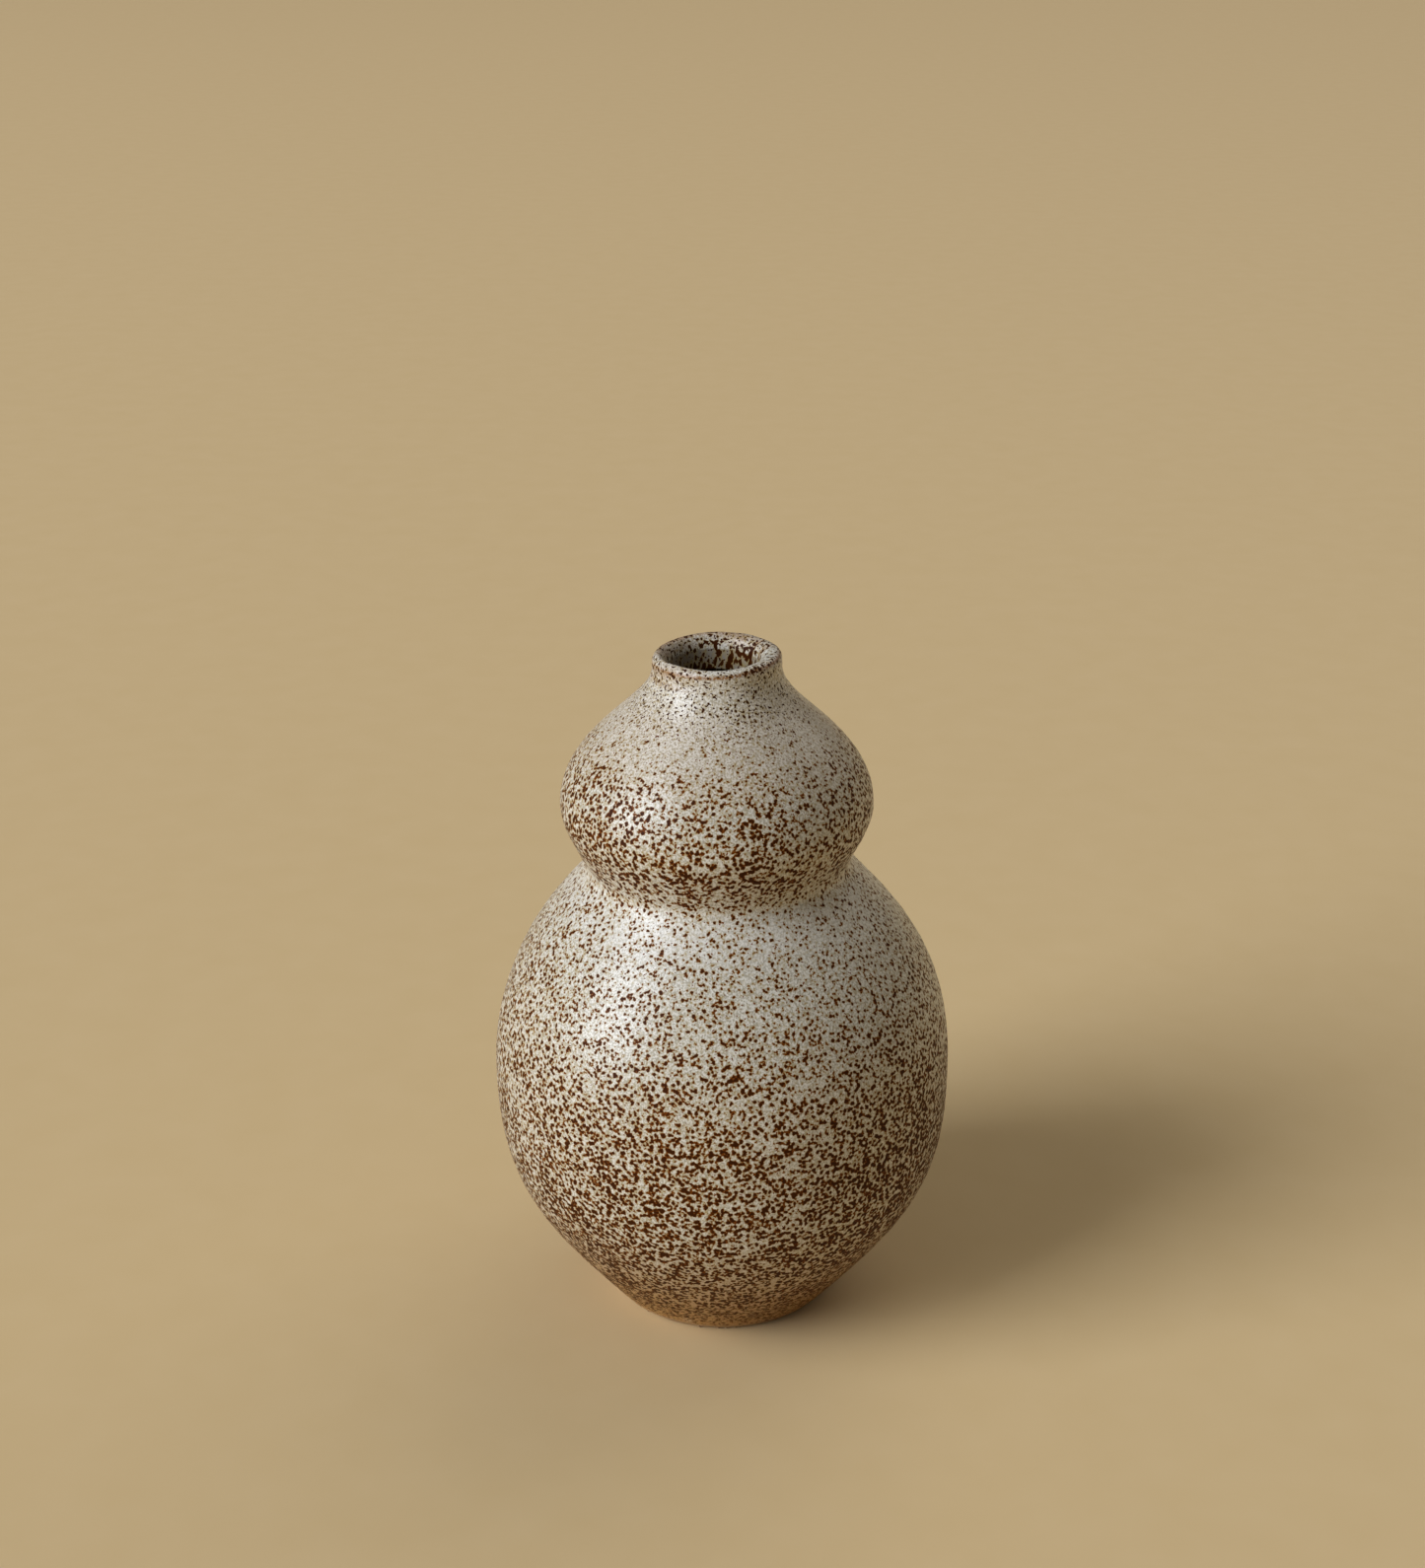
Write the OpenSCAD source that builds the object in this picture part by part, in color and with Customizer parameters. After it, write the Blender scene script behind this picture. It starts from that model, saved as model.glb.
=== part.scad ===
// Double-gourd bud vase: wheel-thrown speckled stoneware with a satin glaze.
// Every solid is a revolve about Z of one outline, the glazed outside, drawn from the foot up to the
// lip and over into the mouth. The clay and both glazes are that outline set in by their thickness.
// Millimetres, +Z up, origin at the middle of the foot on the surface that it stands on.

/* [Form] */
// Diameter of the foot where it meets the table
foot_d = 49; // [36:0.5:64]
// Height of the globe's widest line above the table
belly_h = 56.5; // [46:0.5:70]
// Diameter of the globe at its widest line
belly_d = 100; // [80:1:125]
// Height of the waist above the globe's widest line
waist_h = 47; // [36:0.5:60]
// Diameter at the bottom of the waist's valley
waist_d = 57; // [44:0.5:70]
// Height of the bulb's widest line above the waist
bulb_h = 13; // [10:0.5:20]
// Diameter of the bulb at its widest line
bulb_d = 66.5; // [55:0.5:84]
// Height of the shoulder, from the bulb's widest line up to the lip
shoulder_h = 30.5; // [24:0.5:40]

/* [Curves] */
// Slope of the wall where it leaves the foot, in degrees from the table
foot_slope = 51; // [40:1:70]
// How far the wall runs straight up from the foot before it turns
foot_pull = 33; // [20:1:40]
// Reach of the globe's curve below its widest line
belly_pull_down = 25.5; // [15:0.5:34]
// Reach of the globe's curve above its widest line
belly_pull_up = 30; // [20:0.5:36]
// Reach of the waist's valley into the globe
valley_pull_down = 5.2; // [3:0.1:8]
// Reach of the waist's valley into the bulb
valley_pull_up = 2.4; // [1.5:0.1:4]
// Reach of the bulb's curve below its widest line
bulb_pull_down = 4.5; // [3:0.1:6]
// Reach of the bulb's curve above its widest line
bulb_pull_up = 14.5; // [8:0.5:18]
// Length over which the shoulder straightens into the neck
neck_pull = 8.7; // [5:0.1:12]

/* [Mouth] */
// Diameter of the glazed bore through the neck
throat_d = 19.6; // [14:0.2:26]
// Length of the straight part of the bore, below the lip
throat_h = 4; // [2:0.5:8]
// Height of the rounded lip
lip_h = 3; // [2:0.1:5]
// Width of the lip's outer rounding
lip_edge_w = 1.5; // [0.8:0.1:2]
// Height of the lip's outer rounding
lip_edge_h = 1.7; // [1:0.1:2]

/* [Clay] */
// Thickness of the clay where the wall leaves the foot
foot_wall = 6; // [4:0.1:9]
// Thickness of the clay at the globe's widest line
belly_wall = 4.5; // [3:0.1:7]
// Thickness of the clay at the waist
waist_wall = 5.4; // [3.5:0.1:8]
// Thickness of the clay at the bulb's widest line
bulb_wall = 4.2; // [3:0.1:6]
// Thickness of the clay in the neck
neck_wall = 3; // [2.2:0.1:4.5]
// Height of the clay floor's upper side at the middle
floor_h = 7; // [5:0.1:12]
// Roundness of the corner between the floor and the wall
floor_round = 5; // [2:0.5:8]
// Width of the ring that the foot stands on
foot_ring_w = 6; // [4:0.5:9]
// Depth of the hollow turned into the foot's underside
foot_hollow = 1.4; // [0.5:0.1:2.5]
// Bevel on the foot's outer edge
foot_bevel = 0.6; // [0.3:0.1:1]

/* [Seam] */
// Thickness of the slip that joins the two thrown halves
seam_t = 0.8; // [0.4:0.1:1.5]
// Slope of the seam, falling towards the axis, in degrees
seam_slope = 24; // [0:1:35]

/* [Glaze] */
// Thickness of the glaze outside
glaze_t = 0.4; // [0.2:0.05:0.6]
// Thickness of the glaze inside
liner_t = 0.3; // [0.2:0.05:0.5]
// Height of the bare clay left above the table
bare_h = 1.6; // [1:0.1:4]
// Height over which the glaze thickens above the bare clay
fade_h = 9; // [4:0.5:16]

/* [Hidden] */
$fn = 120;

CLAY = [0.70, 0.60, 0.47];
SLIP = [0.60, 0.48, 0.35];
GLAZE = [0.78, 0.75, 0.69];
LINER = [0.62, 0.57, 0.51];

waist_z = belly_h + waist_h;
bulb_z = waist_z + bulb_h;
neck_z = bulb_z + shoulder_h;
top_z = neck_z + lip_h;
throat_z = neck_z - throat_h;
throat_r = throat_d / 2;
lip_w = glaze_t + neck_wall + liner_t;
neck_r = throat_r + lip_w;

// Larger than any part of the vase, for the pieces that cut it
far = 2 * (top_z + belly_d);

// The legs of the outline. Each is a cubic curve from one widest or narrowest line to the next:
// [start, first handle, second handle, end, clay thickness at the start, at the end, steps]
legs = [
    [
        [foot_d / 2, 0],
        [foot_d / 2 + foot_pull * cos(foot_slope), foot_pull * sin(foot_slope)],
        [belly_d / 2, belly_h - belly_pull_down],
        [belly_d / 2, belly_h],
        foot_wall, belly_wall, 18
    ],
    [
        [belly_d / 2, belly_h],
        [belly_d / 2, belly_h + belly_pull_up],
        [waist_d / 2, waist_z - valley_pull_down],
        [waist_d / 2, waist_z],
        belly_wall, waist_wall, 24
    ],
    [
        [waist_d / 2, waist_z],
        [waist_d / 2, waist_z + valley_pull_up],
        [bulb_d / 2, bulb_z - bulb_pull_down],
        [bulb_d / 2, bulb_z],
        waist_wall, bulb_wall, 12
    ],
    [
        [bulb_d / 2, bulb_z],
        [bulb_d / 2, bulb_z + bulb_pull_up],
        [neck_r, neck_z - neck_pull],
        [neck_r, neck_z],
        bulb_wall, neck_wall, 20
    ]
];

function reversed(points) = [for (i = [len(points) - 1 : -1 : 0]) points[i]];

// A point on a leg, and the leg's direction there, at u from 0 to 1
function on_leg(p, u) =
    pow(1 - u, 3) * p[0] + 3 * pow(1 - u, 2) * u * p[1] + 3 * (1 - u) * u * u * p[2] + pow(u, 3) * p[3];
function along_leg(p, u) =
    pow(1 - u, 2) * (p[1] - p[0]) + 2 * (1 - u) * u * (p[2] - p[1]) + u * u * (p[3] - p[2]);

// The direction into the clay, square to the leg
function inward(p, u) = let (d = along_leg(p, u) / norm(along_leg(p, u))) [-d[1], d[0]];

// The glaze's thickness at height z: nothing on the bare clay, then growing to the full coat
function coat(z) = glaze_t * min(1, max(0, (z - bare_h) / fade_h));

// A whole leg set in by `coats` of glaze and `walls` of clay, plus `extra`
function leg_points(leg, coats, walls, extra, from) = [
    for (i = [from : leg[6]])
        let (u = i / leg[6], p = on_leg(leg, u), wall = leg[4] + (leg[5] - leg[4]) * u)
        p + inward(leg, u) * (coats * coat(p[1]) + walls * wall + extra)
];

// The four legs from the foot up to the neck
function side_points(coats, walls, extra) = [
    for (k = [0 : len(legs) - 1])
        each leg_points(legs[k], coats, walls, extra, k == 0 ? 0 : 1)
];

// The outside, from the foot to the neck: the glazed surface, or the clay under it
function outside(coats) = [for (p = side_points(coats, 0, 0)) if (p[1] > foot_bevel) p];

// The lip, from the neck's outside over the top to the throat, set in by `coats` of glaze.
// The outer rounding is a quarter ellipse, and so is the wider one that falls into the throat.
lip_fall_w = lip_w - lip_edge_w;
function lip(coats) =
    let (t = coats * glaze_t, s = coats * liner_t)
    concat(
        [for (a = [0 : 18 : 90]) [
            neck_r - lip_edge_w + (lip_edge_w - t) * cos(a),
            top_z - lip_edge_h + (lip_edge_h - t) * sin(a)
        ]],
        [for (a = [81 : -9 : 0]) [
            throat_r + lip_fall_w - (lip_fall_w - s) * cos(a),
            neck_z + (lip_h - t) * sin(a)
        ]]
    );

// Lifts a point of the wall's inside smoothly on to a floor at height z: a hyperbola that follows
// the wall far above the floor and the floor itself far below it
function bedded(p, z) = [p[0], (p[1] + z + sqrt(pow(p[1] - z, 2) + pow(floor_round, 2))) / 2];

// The inside, from the throat down to the middle of the floor: the glazed surface, or the clay
// under it. It keeps the throat's radius along the straight part of the bore. Both lines take the
// wall from the same step down, where the clay has left the bore, so that they never cross.
function inside(liners) =
    let (
        r = throat_r + (1 - liners) * liner_t,
        z = floor_h + liners * liner_t,
        clay = [for (p = side_points(1, 1, 0)) bedded(p, floor_h)],
        side = [for (p = side_points(1, 1, liners * liner_t)) bedded(p, z)],
        wall = [
            for (i = [0 : len(side) - 1])
                if (clay[i][1] < throat_z && clay[i][0] > throat_r + liner_t) side[i]
        ]
    )
    concat([[r, neck_z], [r, throat_z]], reversed(wall), [[0, z]]);

// The foot's underside, from the middle out to the ring's bevelled edge
function underside() =
    let (ring = foot_d / 2 - foot_ring_w)
    [
        [0, foot_hollow],
        [ring - 2 * foot_hollow, foot_hollow],
        [ring, 0],
        [foot_d / 2 - foot_bevel, 0]
    ];

// The whole clay body's section: underside, outside, lip and inside
module clay_section() {
    polygon(concat(underside(), outside(1), lip(1), inside(0)));
}

// Height of the seam's middle at radius r
function seam_z(r) = waist_z - (waist_d / 2 - r) * tan(seam_slope);

// Everything below the seam's middle, raised by dz
module below_seam(dz) {
    polygon([[0, seam_z(0) + dz], [far, seam_z(far) + dz], [far, -far], [0, -far]]);
}

// The thrown globe, with its foot and floor, up to the bevelled rim at the waist
module lower_section() {
    color(CLAY)
    rotate_extrude()
    intersection() {
        clay_section();
        below_seam(-seam_t / 2);
    }
}

// The thrown bulb, with its shoulder, neck and lip, standing on the seam
module upper_section() {
    color(CLAY)
    rotate_extrude()
    difference() {
        clay_section();
        below_seam(seam_t / 2);
    }
}

// The ring of slip that lutes the two halves together
module waist_slip() {
    color(SLIP)
    rotate_extrude()
    intersection() {
        clay_section();
        difference() {
            below_seam(seam_t / 2);
            below_seam(-seam_t / 2);
        }
    }
}

// The coat outside: from just above the foot, over the lip and down to the top of the throat
module outer_glaze() {
    glazed = [for (p = outside(0)) if (p[1] > bare_h) p];
    under = [for (p = outside(1)) if (p[1] > bare_h) p];
    color(GLAZE)
    rotate_extrude()
    polygon(concat(glazed, lip(0), reversed(lip(1)), reversed(under)));
}

// The coat inside: the throat, both chambers and the floor
module inner_glaze() {
    color(LINER)
    rotate_extrude()
    polygon(concat(inside(1), reversed(inside(0))));
}

lower_section();
upper_section();
waist_slip();
outer_glaze();
inner_glaze();
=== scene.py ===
"""Looks of a double-gourd bud vase: two thrown stoneware sections under a speckled satin glaze.

Each piece is one section carried round the vase's axis and then bent by the same potter's hand, so
that clay, slip and glazes stay face to face. Lengths are millimetres in the classes and turn to
metres only where a mesh, a node or a light takes them.
"""

import logging
import math
from dataclasses import dataclass, field
from enum import Enum
from typing import Any

import bpy
import numpy as np
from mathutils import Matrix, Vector


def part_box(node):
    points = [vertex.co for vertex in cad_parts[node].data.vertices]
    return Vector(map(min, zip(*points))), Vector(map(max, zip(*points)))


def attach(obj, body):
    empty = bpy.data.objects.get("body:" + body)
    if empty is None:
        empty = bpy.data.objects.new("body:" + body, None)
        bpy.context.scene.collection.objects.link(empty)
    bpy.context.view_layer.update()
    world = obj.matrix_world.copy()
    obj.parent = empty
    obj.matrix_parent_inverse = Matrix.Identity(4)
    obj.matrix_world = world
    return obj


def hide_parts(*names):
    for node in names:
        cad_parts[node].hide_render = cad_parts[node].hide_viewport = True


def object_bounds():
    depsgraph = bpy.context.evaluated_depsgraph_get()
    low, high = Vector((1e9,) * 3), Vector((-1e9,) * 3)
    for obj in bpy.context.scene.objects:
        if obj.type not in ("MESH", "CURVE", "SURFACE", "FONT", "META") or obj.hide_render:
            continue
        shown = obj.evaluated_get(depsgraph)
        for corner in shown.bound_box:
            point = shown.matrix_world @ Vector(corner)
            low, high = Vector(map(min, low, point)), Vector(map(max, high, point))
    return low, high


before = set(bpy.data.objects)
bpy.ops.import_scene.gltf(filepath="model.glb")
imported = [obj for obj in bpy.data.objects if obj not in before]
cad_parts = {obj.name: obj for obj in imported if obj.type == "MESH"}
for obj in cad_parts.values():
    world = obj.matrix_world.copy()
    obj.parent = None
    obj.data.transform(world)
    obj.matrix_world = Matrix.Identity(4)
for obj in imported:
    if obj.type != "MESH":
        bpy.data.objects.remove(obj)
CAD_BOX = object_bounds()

LOG = logging.getLogger("bud_vase")
MM = 0.001
BODY = "root"
SHARP_EDGE = math.radians(38.0)
Socket = bpy.types.NodeSocket


class Slot(Enum):
    """The record's material slots."""

    STONEWARE = "stoneware"
    JOINING_SLIP = "joining_slip"
    SPECKLED_GLAZE = "speckled_glaze"
    LINER_GLAZE = "liner_glaze"


class Mark(Enum):
    """The marks that a coat carries at each of its points, as float attributes.

    FLECK_CUT is the level that the iron noise has to pass to show as a fleck. THIN is how far the
    glaze goes tan: partly where it is thin over the clay, partly painted shade and warm bounce low on
    the globe, and a band of painted shade on the upper bulb. THICK is how far it goes pale where it
    pools, and one small painted highlight low on the foot. BREAK is how far it breaks brown over the
    lip's edge, and painted shade in the grooves of the lip's creases. STAIN is how far iron has stained
    it, SLIDE how far the fleck pattern is slid in height (metres) to draw it out or press it flat, and
    PEPPER how thickly the finest dots lie.
    """

    FLECK_CUT = "fleck_cut"
    THIN = "glaze_thin"
    THICK = "glaze_thick"
    BREAK = "lip_break"
    STAIN = "iron_stain"
    SLIDE = "pattern_slide"
    PEPPER = "pepper"


def rise(x: np.ndarray, low: float, high: float) -> np.ndarray:
    """Smooth step: 0 up to low, 1 from high, and 3t^2 - 2t^3 between them.

    Args:
        x: Values to look up.
        low: Where the step starts.
        high: Where the step ends.

    Returns:
        The step's height at each value.
    """
    t = np.clip((x - low) / (high - low), 0.0, 1.0)
    return t * t * (3.0 - 2.0 * t)


def hump(x: np.ndarray, middle: float | np.ndarray, width: float) -> np.ndarray:
    """Bell curve exp(-((x - middle) / width)^2).

    Args:
        x: Values to look up.
        middle: Where the bell is highest.
        width: Distance from the middle at which it has fallen to 1/e.

    Returns:
        The bell's height at each value.
    """
    return np.exp(-(((x - middle) / width) ** 2))


def turn_from(theta: np.ndarray, middle: float) -> np.ndarray:
    """Signed angle from the direction `middle`, the short way round, in radians.

    Args:
        theta: Angles round the axis, in radians.
        middle: The direction to measure from, in radians.

    Returns:
        Angles from -pi to pi.
    """
    return (theta - middle + math.pi) % (2.0 * math.pi) - math.pi


def linear(hex_colour: str) -> tuple[float, float, float, float]:
    """Turns an sRGB hex colour to linear light.

    Args:
        hex_colour: A colour such as "#C8B89A".

    Returns:
        Linear red, green, blue and an alpha of 1.
    """
    parts = [int(hex_colour[k : k + 2], 16) / 255.0 for k in (1, 3, 5)]
    light = [c / 12.92 if c <= 0.04045 else ((c + 0.055) / 1.055) ** 2.4 for c in parts]
    return (light[0], light[1], light[2], 1.0)


def add_node(
    tree: bpy.types.NodeTree,
    kind: str,
    values: dict[str | int, Any] | None = None,
    links: dict[str | int, Socket] | None = None,
    **settings: Any,
) -> bpy.types.Node:
    """Adds one node to a material.

    Args:
        tree: The material's node tree.
        kind: The node's Blender type.
        values: Values of its input sockets, by name or place.
        links: Sockets of other nodes that feed its inputs, by name or place.
        **settings: The node's own properties.

    Returns:
        The new node.
    """
    node = tree.nodes.new(kind)
    for name, value in settings.items():
        setattr(node, name, value)
    for key, value in (values or {}).items():
        node.inputs[key].default_value = value
    for key, socket in (links or {}).items():
        tree.links.new(socket, node.inputs[key])
    return node


def new_material(name: str) -> tuple[bpy.types.Material, bpy.types.NodeTree, Socket]:
    """Starts a node material.

    Args:
        name: The finish's name.

    Returns:
        The material, its cleared node tree and the piece's own coordinates.
    """
    material = bpy.data.materials.new(name)
    material.use_nodes = True
    tree = material.node_tree
    tree.nodes.clear()
    return material, tree, add_node(tree, "ShaderNodeTexCoord").outputs["Object"]


def put_shader(tree: bpy.types.NodeTree, values: dict[str, float], links: dict[str, Socket]) -> None:
    """Ends a material with its shader and output.

    Args:
        tree: The material's node tree.
        values: The shader's even values, by socket.
        links: Sockets that feed the shader's others.
    """
    shader = add_node(tree, "ShaderNodeBsdfPrincipled", values, links)
    add_node(tree, "ShaderNodeOutputMaterial", links={"Surface": shader.outputs["BSDF"]})


def put_mesh(name: str, points: np.ndarray, quads: np.ndarray, fans: np.ndarray) -> bpy.types.Object:
    """Puts a surface into a new object at the origin.

    Args:
        name: The piece's name.
        points: Vertices in millimetres, shape (n, 3).
        quads: Four-sided faces, shape (q, 4).
        fans: Three-sided faces, shape (t, 3).

    Returns:
        The object, smooth-shaded but for its sharp edges.
    """
    mesh = bpy.data.meshes.new(name)
    mesh.vertices.add(len(points))
    mesh.vertices.foreach_set("co", (points * MM).astype(np.float32).ravel())
    corners = np.concatenate([quads.ravel(), fans.ravel()]).astype(np.int32)
    sizes = np.concatenate([np.full(len(quads), 4), np.full(len(fans), 3)])
    mesh.loops.add(len(corners))
    mesh.loops.foreach_set("vertex_index", corners)
    mesh.polygons.add(len(sizes))
    mesh.polygons.foreach_set("loop_start", np.concatenate([[0], np.cumsum(sizes)[:-1]]).astype(np.int32))
    mesh.update(calc_edges=True)
    mesh.validate()
    mesh.shade_smooth()
    mesh.set_sharp_from_angle(angle=SHARP_EDGE)
    piece = bpy.data.objects.new(name, mesh)
    bpy.context.scene.collection.objects.link(piece)
    return piece


@dataclass(frozen=True)
class GourdOutline:
    """The vase's glazed outline and everything set in from it, in millimetres.

    The outline is four cubic Bezier legs: foot to belly, belly to waist, waist to bulb and bulb to
    neck, each starting and ending upright but for the foot's. The clay is the outline set in by the
    coat of glaze, and the inside is the clay's outside set in by the wall.
    """

    foot_d: float = 49.0
    belly_h: float = 56.5
    waist_h: float = 47.0
    waist_d: float = 57.0
    bulb_h: float = 13.0
    bulb_d: float = 66.5
    shoulder_h: float = 30.5
    foot_slope: float = 51.0
    foot_pull: float = 33.0
    belly_pull_down: float = 25.5
    belly_pull_up: float = 30.0
    valley_pull_down: float = 5.2
    valley_pull_up: float = 2.4
    bulb_pull_down: float = 4.5
    bulb_pull_up: float = 14.5
    neck_pull: float = 8.7
    throat_d: float = 19.6
    throat_h: float = 4.0
    lip_h: float = 3.0
    lip_edge_w: float = 1.5
    lip_edge_h: float = 1.7
    foot_wall: float = 6.0
    belly_wall: float = 4.5
    waist_wall: float = 5.4
    bulb_wall: float = 4.2
    neck_wall: float = 3.0
    floor_h: float = 7.0
    floor_round: float = 5.0
    foot_ring_w: float = 6.0
    foot_hollow: float = 1.4
    foot_edge_h: float = 1.1
    seam_t: float = 0.8
    seam_slope: float = 24.0
    glaze_t: float = 0.4
    liner_t: float = 0.3
    bare_h: float = 1.6
    fade_h: float = 9.0
    leg_steps: tuple[int, ...] = (50, 44, 26, 34)

    @property
    def belly_d(self) -> float:
        """Diameter at the globe's widest line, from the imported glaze."""
        low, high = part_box("outer_glaze")
        return round((high.x - low.x) / MM, 1)

    @property
    def waist_z(self) -> float:
        """Height of the waist."""
        return self.belly_h + self.waist_h

    @property
    def bulb_z(self) -> float:
        """Height of the bulb's widest line."""
        return self.waist_z + self.bulb_h

    @property
    def neck_z(self) -> float:
        """Height at which the neck ends and the lip begins."""
        return self.bulb_z + self.shoulder_h

    @property
    def top_z(self) -> float:
        """Height of the lip's crest."""
        return self.neck_z + self.lip_h

    @property
    def throat_r(self) -> float:
        """Radius of the glazed bore."""
        return self.throat_d / 2.0

    @property
    def neck_r(self) -> float:
        """Outer radius of the neck: the bore, the liner, the clay and the coat."""
        return self.throat_r + self.liner_t + self.neck_wall + self.glaze_t

    def handles(self) -> np.ndarray:
        """The four legs' Bezier points.

        Returns:
            Array of shape (4 legs, 4 points, radius and height).
        """
        slope = math.radians(self.foot_slope)
        foot, belly, waist, bulb = (d / 2.0 for d in (self.foot_d, self.belly_d, self.waist_d, self.bulb_d))
        pull = self.foot_pull
        return np.array([
            [[foot, 0.0], [foot + pull * math.cos(slope), pull * math.sin(slope)],
             [belly, self.belly_h - self.belly_pull_down], [belly, self.belly_h]],
            [[belly, self.belly_h], [belly, self.belly_h + self.belly_pull_up],
             [waist, self.waist_z - self.valley_pull_down], [waist, self.waist_z]],
            [[waist, self.waist_z], [waist, self.waist_z + self.valley_pull_up],
             [bulb, self.bulb_z - self.bulb_pull_down], [bulb, self.bulb_z]],
            [[bulb, self.bulb_z], [bulb, self.bulb_z + self.bulb_pull_up],
             [self.neck_r, self.neck_z - self.neck_pull], [self.neck_r, self.neck_z]],
        ])

    def coat(self, z: np.ndarray) -> np.ndarray:
        """Thickness of the outer glaze: 0 on the bare foot, growing evenly to the full coat.

        Args:
            z: Heights.

        Returns:
            Thickness at each height.
        """
        return self.glaze_t * np.clip((z - self.bare_h) / self.fade_h, 0.0, 1.0)

    def side(self, coats: float, walls: float, extra: float, fineness: float) -> np.ndarray:
        """The four legs from foot to neck, set in along their own normals.

        A point at share u of a leg is the Bezier sum of its four handles; the normal is the leg's
        direction turned a quarter turn towards the clay; the depth is coats x coat(z) + walls x wall
        + extra, with the wall running evenly from one end of the leg to the other.

        Args:
            coats: How many coats of glaze to set in by.
            walls: How many walls of clay to set in by.
            extra: Further depth.
            fineness: Share of the full number of steps.

        Returns:
            Points (radius, height) from the foot up.
        """
        steps = np.maximum(6, np.round(np.array(self.leg_steps) * fineness)).astype(int)
        leg = np.concatenate([[0], np.repeat(np.arange(len(steps)), steps)])
        u = np.concatenate([[0.0], *[np.arange(1, n + 1) / n for n in steps]])
        v = 1.0 - u
        hold = self.handles()[leg]
        point = (np.stack([v**3, 3 * v * v * u, 3 * v * u * u, u**3], 1)[:, :, None] * hold).sum(1)
        along = (np.stack([v * v, 2 * v * u, u * u], 1)[:, :, None] * np.diff(hold, axis=1)).sum(1)
        along /= np.linalg.norm(along, axis=1, keepdims=True)
        walls_at = np.array(
            [self.foot_wall, self.belly_wall, self.waist_wall, self.bulb_wall, self.neck_wall]
        )
        wall = walls_at[leg] + (walls_at[leg + 1] - walls_at[leg]) * u
        depth = coats * self.coat(point[:, 1]) + walls * wall + extra
        return point + np.stack([-along[:, 1], along[:, 0]], 1) * depth[:, None]

    def outside(self, coats: float, above: float, fineness: float) -> np.ndarray:
        """The outside from the height `above` up to the neck, its first point exactly there.

        Args:
            coats: How many coats of glaze to set in by.
            above: Height at which it starts, no higher than the bare clay reaches.
            fineness: Share of the full number of steps.

        Returns:
            Points (radius, height) from the bottom up.
        """
        side = self.side(coats, 0.0, 0.0, fineness)
        start = [np.interp(above, side[:, 1], side[:, 0]), above]
        return np.vstack([start, side[side[:, 1] > above + 0.05]])

    def lip(self, coats: float, steps: int) -> np.ndarray:
        """The lip: a quarter ellipse outside and a wider one that falls into the throat.

        Args:
            coats: How many coats of glaze to set in by.
            steps: Steps of the inner ellipse; the outer one has half as many.

        Returns:
            Points (radius, height) from the neck's outside over the crest to the bore.
        """
        t, s = coats * self.glaze_t, coats * self.liner_t
        fall = self.neck_r - self.throat_r - self.lip_edge_w
        up = np.linspace(0.0, math.pi / 2, steps // 2 + 1)
        down = np.linspace(math.pi / 2, 0.0, steps + 1)[1:]
        edge_r = self.neck_r - self.lip_edge_w + (self.lip_edge_w - t) * np.cos(up)
        edge_z = self.top_z - self.lip_edge_h + (self.lip_edge_h - t) * np.sin(up)
        fall_r = self.throat_r + fall - (fall - s) * np.cos(down)
        fall_z = self.neck_z + (self.lip_h - t) * np.sin(down)
        return np.stack([np.concatenate([edge_r, fall_r]), np.concatenate([edge_z, fall_z])], 1)

    def inside(self, liners: float, fineness: float) -> np.ndarray:
        """The inside from the top of the bore down to the middle of the floor.

        The wall is bedded on the floor by the hyperbola (z + f + sqrt((z - f)^2 + round^2)) / 2,
        where f is the floor's height. The bore ends one coat lower on the glazed surface than on
        the clay, and the wall starts at that very height, so that the two never cross.

        Args:
            liners: 1 for the glazed surface, 0 for the clay under it.
            fineness: Share of the full number of steps.

        Returns:
            Points (radius, height), the last one on the axis.
        """
        r = self.throat_r + (1.0 - liners) * self.liner_t
        floor = self.floor_h + liners * self.liner_t
        throat_z = self.neck_z - self.throat_h - liners * self.liner_t
        wall = self.side(1.0, 1.0, liners * self.liner_t, fineness)
        z = wall[:, 1]
        wall[:, 1] = (z + floor + np.sqrt((z - floor) ** 2 + self.floor_round**2)) / 2.0
        start = [np.interp(throat_z, wall[:, 1], wall[:, 0]), throat_z]
        wall = np.vstack([start, wall[(wall[:, 1] < throat_z - 0.05) & (wall[:, 0] > r)][::-1]])
        bore = np.stack([np.full(7, r), np.linspace(self.neck_z, throat_z, 7)], 1)
        share = np.linspace(0.0, 1.0, 15)[1:, None]
        across = wall[-1] + (np.array([0.0, floor]) - wall[-1]) * share
        return np.vstack([bore, wall, across])

    def underside(self) -> np.ndarray:
        """The foot's underside: a shallow turned hollow, the ring it stands on and a rounded edge.

        The hollow's side is a smooth step as wide as twice its depth, and the edge is a quadratic
        Bezier curve round the outline's own corner.

        Returns:
            Points (radius, height) from the axis out to the start of the outside.
        """
        ring = self.foot_d / 2.0 - self.foot_ring_w
        r = np.linspace(0.0, self.foot_d / 2.0 - self.foot_edge_h, 44)
        z = self.foot_hollow * (1.0 - rise(r, ring - 2.0 * self.foot_hollow, ring))
        first = self.outside(0.0, self.foot_edge_h, 1.0)[0]
        u = np.linspace(0.0, 1.0, 7)[1:-1, None]
        corner = np.array([self.foot_d / 2.0, 0.0])
        edge = (1 - u) ** 2 * np.array([r[-1], 0.0]) + 2 * u * (1 - u) * corner + u**2 * first
        return np.vstack([np.stack([r, z], 1), edge])

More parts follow.
